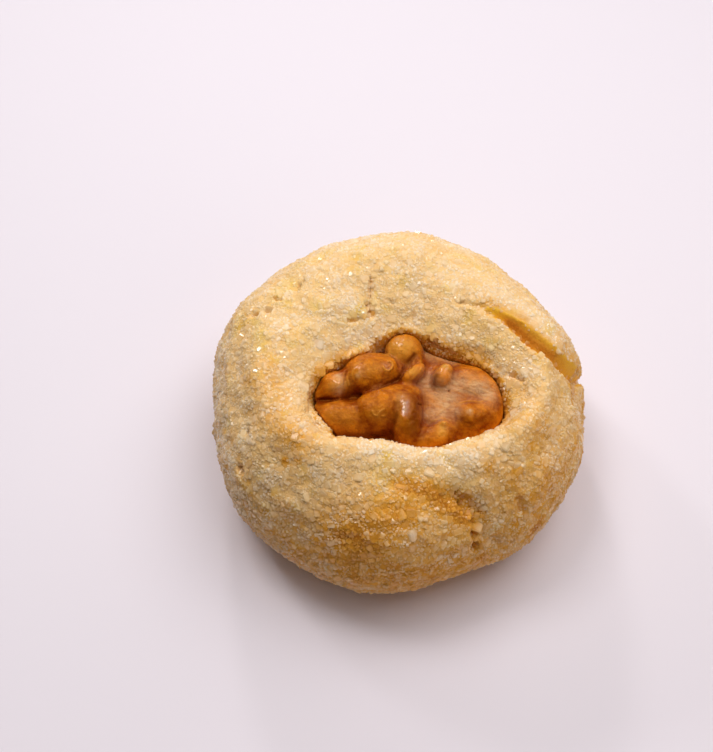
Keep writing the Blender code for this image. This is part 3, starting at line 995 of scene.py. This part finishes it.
def build_grains(name, shape, places, directions, sizes, found):
    corners, faces = shape
    count = len(places)
    stretch = draws.uniform(*STRETCH, (count, 3)) * sizes[:, None]
    turns = random_turns(count)
    if name == "sugar_lumps":
        turns = flat_turns(directions)
        stretch[:, 2] *= LUMP_THICKNESS
    turned = np.einsum("nij,nvj->nvi", turns, corners[None] * stretch[:, None, :])
    centres = places - directions * (sizes * SUNK_SHARE)[:, None]
    made = turned + centres[:, None, :]
    rise = np.einsum("nvi,ni->nv", made - places[:, None, :], directions) / sizes[:, None]
    lowest = made[:, :, 2].min(axis=1)
    made[:, :, 2] += np.maximum(0, FLOOR_GAP - lowest)[:, None]
    all_faces = faces[None] + (np.arange(count) * len(corners))[:, None, None]
    mesh = bpy.data.meshes.new(name)
    mesh.from_pydata(made.reshape(-1, 3), [], all_faces.reshape(-1, 3))
    mesh.update()
    piece = bpy.data.objects.new(name, mesh)
    bpy.context.scene.collection.objects.link(piece)
    for mark in KEPT_MARKS:
        store(piece, mark, np.repeat(found[mark], len(corners)))
    store(piece, "own", np.repeat(draws.random(count), len(corners)))
    store(piece, "rise", smooth_step(rise.ravel(), *FOOT_AND_TOP))
    bend_normals(piece, directions)
    print(name, "has", len(all_faces.reshape(-1, 3)), "triangles")
    return piece


sugar = [build_grains(name, KINDS[name][0], *laid) for name, laid in laid_grains.items()]

# %% [markdown]
# ## Materials
#
# Blender's Principled shader takes what a surface is like from the nodes in front of it. Small helpers
# keep the recipes short: one starts a material, one adds a node, and one mixes two colours.

# %% Helpers for recipes
def new_material(name):
    made = bpy.data.materials.new(name)
    made.use_nodes = True
    return made, made.node_tree, made.node_tree.nodes["Principled BSDF"]


def add_node(tree, kind, **settings):
    node = tree.nodes.new(kind)
    for setting, value in settings.items():
        setattr(node, setting, value)
    return node


def stored(tree, name):
    """The number that a piece stores under a name."""
    return add_node(tree, "ShaderNodeAttribute", attribute_name=name).outputs["Fac"]


def cloud(tree, size, detail=2.0, roughness=0.5):
    """Noise that is fixed to the piece, with lumps of one size, from 0 to 1."""
    place = add_node(tree, "ShaderNodeTexCoord").outputs["Object"]
    node = add_node(tree, "ShaderNodeTexNoise")
    node.inputs["Scale"].default_value = 1 / size
    node.inputs["Detail"].default_value = detail
    node.inputs["Roughness"].default_value = roughness
    tree.links.new(place, node.inputs["Vector"])
    return node.outputs["Fac"]


def ranged(tree, value, low, high, start=0.0, end=1.0):
    """A value's range from low to high, stretched to run from start to end."""
    node = add_node(tree, "ShaderNodeMapRange")
    for socket, number in (("From Min", low), ("From Max", high), ("To Min", start), ("To Max", end)):
        node.inputs[socket].default_value = number
    tree.links.new(value, node.inputs["Value"])
    return node.outputs["Result"]


def combined(tree, operation, first, second):
    node = add_node(tree, "ShaderNodeMath", operation=operation)
    for socket, value in zip(node.inputs, (first, second)):
        if isinstance(value, (int, float)):
            socket.default_value = value
        else:
            tree.links.new(value, socket)
    return node.outputs[0]


def blended(tree, share, first, second):
    """The first colour, turning into the second as the share goes from 0 to 1."""
    node = add_node(tree, "ShaderNodeMix", data_type="RGBA")
    for socket, value in ((0, share), (6, first), (7, second)):
        if isinstance(value, tuple):
            node.inputs[socket].default_value = (*value, 1)
        elif isinstance(value, float):
            node.inputs[socket].default_value = value
        else:
            tree.links.new(value, node.inputs[socket])
    return node.outputs[2]


def bumped(tree, shader, height, distance, strength=1.0):
    node = add_node(tree, "ShaderNodeBump")
    node.inputs["Distance"].default_value = distance
    node.inputs["Strength"].default_value = strength
    tree.links.new(height, node.inputs["Height"])
    tree.links.new(node.outputs["Normal"], shader.inputs["Normal"])


# %% [markdown]
# ## Baked dough
#
# Almond dough bakes from cream to gold, and turns orange brown where it is toasted and where shade is
# painted.
# It is moist inside, so light goes into it a little way: that is what subsurface scattering does.

# %% Make the dough's material
CREAM = (0.81, 0.53, 0.235)
PALE_CREAM = (0.84, 0.64, 0.43)
YELLOW_CREAM = (0.79, 0.52, 0.13)
WALL_GOLD = (0.90, 0.49, 0.03)
GOLD = (0.73, 0.325, 0.035)
BROWN = (0.46, 0.145, 0.008)


def crust_colour(tree, toast_and_shade_strength, more):
    """The crust's colour from its marks: cream, pale or yellow in places, gold to brown where toasted and
    where shade is painted.
    """
    speckle = ranged(tree, cloud(tree, size=0.35 * MM), 0.35, 0.65, -0.10, 0.10)
    toast_and_shade = combined(tree, "MULTIPLY", stored(tree, "toast_and_shade"), toast_and_shade_strength)
    toast_and_shade = combined(tree, "ADD", combined(tree, "ADD", toast_and_shade, speckle), more)
    colour = blended(tree, combined(tree, "MULTIPLY", stored(tree, "pale"), 0.6), CREAM, PALE_CREAM)
    colour = blended(tree, stored(tree, "yellow"), colour, YELLOW_CREAM)
    colour = blended(tree, stored(tree, "torn"), colour, WALL_GOLD)
    colour = blended(tree, ranged(tree, toast_and_shade, 0.0, 0.7), colour, GOLD)
    return blended(tree, ranged(tree, toast_and_shade, 0.7, 1.2), colour, BROWN)


dough_material, tree, shader = new_material("baked_almond_dough")
colour = crust_colour(tree, 1.0, 0.08)
tree.links.new(colour, shader.inputs["Base Color"])
shader.inputs["Roughness"].default_value = 0.6
shader.inputs["Specular IOR Level"].default_value = 0.1
shader.inputs["Subsurface Weight"].default_value = 0.1
shader.inputs["Subsurface Radius"].default_value = (1.0, 0.7, 0.5)
shader.inputs["Subsurface Scale"].default_value = 0.3 * MM
bumped(tree, shader, cloud(tree, size=0.25 * MM), distance=0.08 * MM)
dough.data.materials.append(dough_material)
print("The dough's recipe has", len(tree.nodes), "nodes")

# %% [markdown]
# ## Sugar
#
# A grain of sugar is clear, with many small flaws that scatter light, so it looks white and takes on the
# colour of the dough below: less white where the dough is toasted and where shade is painted on it. At its
# foot it is less white and darker, which is painted shade in the gaps between grains. A clear coat that keeps
# each facet's true direction gives the glints.

# %% Make the sugar's material
SUGAR_WHITE = (0.85, 0.69, 0.51)

sugar_material, tree, shader = new_material("sugar_grain")
white_share = ranged(tree, stored(tree, "own"), 0.0, 1.0, 0.10, 0.38)
more_white = combined(tree, "MULTIPLY", stored(tree, "pale"), 0.45)
less_white = combined(tree, "MULTIPLY", stored(tree, "toast_and_shade"), 0.30)
white_share = combined(tree, "SUBTRACT", combined(tree, "ADD", white_share, more_white), less_white)
# Less white and darker at each grain's foot: painted shade in the gaps between grains.
white_share = combined(tree, "MULTIPLY", white_share, ranged(tree, stored(tree, "rise"), 0.0, 1.0, 0.0, 1.3))
shaded_foot = ranged(tree, stored(tree, "rise"), 0.0, 1.0, 0.16, -0.04)
colour = blended(tree, white_share, crust_colour(tree, 0.85, shaded_foot), SUGAR_WHITE)
tree.links.new(colour, shader.inputs["Base Color"])
shader.inputs["Roughness"].default_value = 0.28
shader.inputs["Specular IOR Level"].default_value = 0.1
shader.inputs["Coat Weight"].default_value = 0.45
shader.inputs["Coat Roughness"].default_value = 0.11
shader.inputs["Coat IOR"].default_value = 1.55
facing = add_node(tree, "ShaderNodeNewGeometry").outputs["True Normal"]
tree.links.new(facing, shader.inputs["Coat Normal"])
shader.inputs["Subsurface Weight"].default_value = 0.4
shader.inputs["Subsurface Radius"].default_value = (1.0, 1.0, 1.0)
shader.inputs["Subsurface Scale"].default_value = 0.12 * MM
for piece in sugar:
    piece.data.materials.append(sugar_material)
print("The sugar's recipe has", len(tree.nodes), "nodes")

# %% [markdown]
# ## Where the walnut's skin differs
#
# The skin is thin, oily and a warm brown. It is honey coloured on the knob and at the ends of the rolls, and
# milky on the flat plate at the right, where the dry skin has come away in streaks. Oil shines on it in a few
# places. Shade is painted darker in its folds, along its creases and on the sides away from the light, and a
# few honey and milky spots are painted highlights. All of these are noted by where the camera sees them.

# %% Note the marks on the walnut
# Each row: the places, across and down in the frame, then the radius in mm and the strength
# Some rows are painted highlights rather than honey skin: those on the top of the nub, the small bump, the
# upper roll and the left of the head.
HONEY_AND_HIGHLIGHT_MARKS = (
    ([(392, 348), (405, 346)], 1.5, 0.9),
    ([(412, 371)], 0.7, 0.9),
    ([(330, 416), (346, 418)], 1.3, 0.3),
    ([(334, 386), (345, 384)], 0.9, 0.6),
    ([(376, 413)], 0.9, 0.4),
    ([(446, 366)], 0.7, 1.0),
    ([(400, 396), (399, 420)], 0.5, 0.4),
    ([(350, 384), (352, 372), (360, 362)], 0.35, 0.35),
    ([(443, 425), (442, 432)], 0.6, 0.9),
    ([(325, 412), (350, 425)], 2.0, 0.1),
    ([(358, 375)], 0.5, 0.8),
    ([(470, 411)], 0.45, 1.0),
    ([(360, 372), (375, 368)], 0.9, 0.35),
)
# Besides the milky streaks on the plate, the small rows on the head, the knob, the nub, the small bump and
# the upper roll are painted highlights.
MILKY_AND_HIGHLIGHT_MARKS = (
    ([(428, 350), (442, 352), (455, 360)], 1.0, 0.8),
    ([(430, 382), (448, 396), (440, 410)], 1.5, 0.9),
    ([(455, 384), (478, 386), (488, 394)], 1.2, 1.0),
    ([(452, 404), (456, 412)], 0.9, 0.7),
    ([(338, 376), (339, 390)], 0.55, 1.0),
    ([(404, 402), (405, 411)], 0.20, 1.0),
    ([(470, 410)], 0.20, 0.6),
    ([(397, 339)], 0.30, 0.8),
    ([(358, 375)], 0.30, 0.6),
    ([(447, 365)], 0.25, 0.6),
    ([(404, 398)], 0.8, 0.4),
    ([(428, 415)], 1.0, 0.6),
)
# Most rows are painted shade: along the crease between the rolls, on the right of the head and the left of
# the nub, which face away from the light, beside the small bump and under the lower edges of the rolls. A few
# are darker skin.
DARK_AND_SHADE_MARKS = (
    ([(417, 402), (415, 414), (412, 428)], 1.4, 1.0),
    ([(365, 420), (388, 410)], 1.2, 0.35),
    ([(335, 415), (380, 418)], 2.0, 0.42),
    ([(466, 416)], 1.2, 0.6),
    ([(405, 432), (422, 436)], 1.0, 0.5),
    ([(457, 424), (451, 436)], 0.7, 0.5),
    ([(430, 428)], 0.6, 0.3),
    ([(399, 375), (403, 369)], 0.35, 1.0),
    ([(434, 384), (437, 374)], 0.45, 0.8),
    ([(388, 376), (397, 372)], 0.5, 0.5),
    ([(370, 388), (350, 394)], 0.5, 0.4),
    ([(468, 421), (480, 418)], 0.9, 0.6),
    ([(322, 399), (345, 398), (360, 395), (378, 388), (398, 380)], 0.6, 0.8),
    ([(395, 415), (393, 435)], 0.5, 0.6),
    ([(404, 368), (414, 356)], 0.4, 0.8),
    ([(320, 385), (316, 400), (320, 412)], 0.6, 0.6),
    ([(330, 430), (350, 436), (380, 434)], 0.8, 0.8),
    ([(470, 425), (490, 417), (500, 400)], 0.7, 0.4),
    ([(316, 412), (318, 420)], 0.5, 0.8),
)
GLOSS_MARKS = (
    ([(405, 402), (404, 412)], 0.45, 1.0),
    ([(399, 342)], 0.55, 0.8),
    ([(358, 373)], 0.8, 0.6),
    ([(387, 367)], 0.5, 0.6),
    ([(445, 368)], 0.6, 1.0),
    ([(470, 411)], 0.35, 0.5),
    ([(338, 383)], 0.7, 0.6),
    ([(443, 424)], 0.4, 0.5),
)
walnut_marks = {"honey_and_highlight": HONEY_AND_HIGHLIGHT_MARKS, "milky_and_highlight": MILKY_AND_HIGHLIGHT_MARKS, "dark": DARK_AND_SHADE_MARKS, "gloss": GLOSS_MARKS}
for name, rows in walnut_marks.items():
    store(walnut, name, marked(walnut_tree, rows, points_of(walnut)))
    print("The walnut has", len(rows), name, "marks")

# %% [markdown]
# ## Walnut skin
#
# The recipe starts from two browns, mottled, and lighter on the domes as painted light. Over them it lays in
# turn the honey, the milky streaks, the veins, ridges lightened as a painted highlight, the dark places,
# which are mostly painted shade, and the folds, darkened as painted shade. The streaks are noise that is
# drawn out along one direction. A clear coat of oil gives the shine, except in the folds.

# %% Make the walnut's material
# The deepest brown is painted shade in the folds and dark places; the honey and milky colours also paint
# highlights.
SKIN_LIGHT = (0.65, 0.19, 0.006)
SKIN_BROWN = (0.24, 0.036, 0.001)
SKIN_DEEP_SHADE = (0.12, 0.016, 0.0005)
HONEY_AND_HIGHLIGHT = (0.62, 0.26, 0.030)
MILKY_AND_HIGHLIGHT = (0.62, 0.37, 0.185)
STREAK_SIZE = 0.50 * MM
STREAK_LENGTH = 2.6
STREAK_TURN = math.radians(-18)


def streaked(tree, size, length, turn):
    """Noise drawn out along one level direction."""
    drawn = add_node(tree, "ShaderNodeMapping", vector_type="TEXTURE")
    drawn.inputs["Rotation"].default_value = (0, 0, turn)
    drawn.inputs["Scale"].default_value = (length, 1, 1)
    tree.links.new(add_node(tree, "ShaderNodeTexCoord").outputs["Object"], drawn.inputs["Vector"])
    node = add_node(tree, "ShaderNodeTexNoise")
    node.inputs["Scale"].default_value = 1 / size
    node.inputs["Detail"].default_value = 4.0
    tree.links.new(drawn.outputs["Vector"], node.inputs["Vector"])
    return node.outputs["Fac"]


walnut_material, tree, shader = new_material("walnut_skin")
mottle = cloud(tree, size=1.1 * MM, detail=6.0, roughness=0.65)
mottle = ranged(tree, mottle, 0.35, 0.65, -0.4, 0.4)
# Adding the dome share makes the domes lighter: painted light.
mottle = combined(tree, "ADD", mottle, stored(tree, "dome"))
veins = combined(tree, "SUBTRACT", cloud(tree, size=1.4 * MM, detail=4.0), 0.5)
veins = combined(tree, "ABSOLUTE", veins, 0.0)
veins = ranged(tree, veins, 0.0, 0.02, 0.35, 0.0)
streaks = ranged(tree, streaked(tree, STREAK_SIZE, STREAK_LENGTH, STREAK_TURN), 0.33, 0.66, 0.35, 1.0)
colour = blended(tree, mottle, SKIN_BROWN, SKIN_LIGHT)
colour = blended(tree, stored(tree, "honey_and_highlight"), colour, HONEY_AND_HIGHLIGHT)
colour = blended(tree, combined(tree, "MULTIPLY", stored(tree, "milky_and_highlight"), streaks), colour, MILKY_AND_HIGHLIGHT)
colour = blended(tree, veins, colour, SKIN_BROWN)
# Ridges lighter: a painted highlight along their crests.
colour = blended(tree, combined(tree, "MULTIPLY", stored(tree, "ridge"), 0.7), colour, HONEY_AND_HIGHLIGHT)
# Dark marks: mostly painted shade, a few darker skin.
colour = blended(tree, combined(tree, "MULTIPLY", stored(tree, "dark"), 0.8), colour, SKIN_DEEP_SHADE)
# Folds darker: painted shade.
colour = blended(tree, combined(tree, "MULTIPLY", stored(tree, "fold"), 0.9), colour, SKIN_DEEP_SHADE)
tree.links.new(colour, shader.inputs["Base Color"])
shader.inputs["Roughness"].default_value = 0.30
shader.inputs["Specular IOR Level"].default_value = 0.45
shader.inputs["Specular Tint"].default_value = (1.0, 0.40, 0.06, 1.0)
gloss = ranged(tree, stored(tree, "gloss"), 0.0, 1.0, 0.02, 1.0)
unfolded = ranged(tree, stored(tree, "fold"), 0.0, 0.6, 1.0, 0.0)
tree.links.new(combined(tree, "MULTIPLY", gloss, unfolded), shader.inputs["Coat Weight"])
shader.inputs["Coat Roughness"].default_value = 0.18
shader.inputs["Coat IOR"].default_value = 1.65
shader.inputs["Subsurface Weight"].default_value = 0.15
shader.inputs["Subsurface Radius"].default_value = (1.0, 0.4, 0.1)
shader.inputs["Subsurface Scale"].default_value = 0.6 * MM
bumped(tree, shader, cloud(tree, size=0.22 * MM, detail=4.0), distance=0.05 * MM)
walnut.data.materials.append(walnut_material)
print("The walnut's recipe has", len(tree.nodes), "nodes")

# %% [markdown]
# ## Say what stands for what
#
# Each new piece rides on the model's one body. The dough and the walnut replace their solids, and the
# sugar is part of the crust.

# %% Tie the pieces to the model
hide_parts("dough")
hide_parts("walnut")
for piece in (dough, walnut, *sugar):
    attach(piece, "root")
print("Tied", 2 + len(sugar), "pieces to the model")

# %% [markdown]
# ## Floor and light
#
# The floor is one pale sheet. The light comes from above and behind, as from windows, so the shadow falls
# softly towards the camera. The window on the left is small and bright, for the shine on the walnut, and
# two little panes add glints. A warm fill in front and a pale sky lighten the shadows.

# %% Lay the floor and hang the lights
FLOOR_SIZE = 1.2
FLOOR_COLOUR = (0.80, 0.728, 0.782, 1)
SKY_COLOUR = (1.0, 0.98, 1.0, 1)
SKY_STRENGTH = 0.03
WHITE = (1.0, 1.0, 1.0)
WARM = (1.0, 0.91, 0.76)
# Each row: the name, the place in metres, the side in metres, the power in watts and the colour
LIGHTS = (
    ("ceiling", (0.0, 0.02, 0.20), 0.20, 0.10, WHITE),
    ("window_left", (-0.106, 0.110, 0.315), 0.11, 0.37, WHITE),
    ("window_right", (0.128, 0.074, 0.317), 0.25, 0.38, WHITE),
    ("window_corner", (0.273, 0.325, 0.424), 0.45, 0.90, WHITE),
    ("window_pane", (-0.083, 0.469, 0.275), 0.06, 0.50, WHITE),
    ("window_side", (-0.318, 0.341, 0.291), 0.06, 0.38, WHITE),
    ("front_fill", (0.200, -0.240, 0.120), 0.30, 0.22, WARM),
)

bpy.ops.object.select_all(action="DESELECT")
bpy.ops.mesh.primitive_plane_add(size=FLOOR_SIZE, location=(0, 0, 0))
floor = bpy.context.active_object
floor.name = "pale_floor"
floor_material, tree, shader = new_material("pale_card")
shader.inputs["Base Color"].default_value = FLOOR_COLOUR
shader.inputs["Roughness"].default_value = 0.7
floor.data.materials.append(floor_material)


def hang_light(name, place, size, power, colour):
    """A square light that faces the cookie."""
    turn = (-Vector(place)).to_track_quat("-Z", "Y").to_euler()
    bpy.ops.object.light_add(type="AREA", location=place, rotation=turn)
    light = bpy.context.active_object
    light.name = name
    light.data.size = size
    light.data.energy = power
    light.data.color = colour


for row in LIGHTS:
    hang_light(*row)
world = bpy.data.worlds.new("pale_sky")
bpy.context.scene.world = world
world.use_nodes = True
world.node_tree.nodes["Background"].inputs["Color"].default_value = SKY_COLOUR
world.node_tree.nodes["Background"].inputs["Strength"].default_value = SKY_STRENGTH
bpy.context.scene.view_settings.view_transform = "Standard"
print("Hung", len(LIGHTS), "lights")
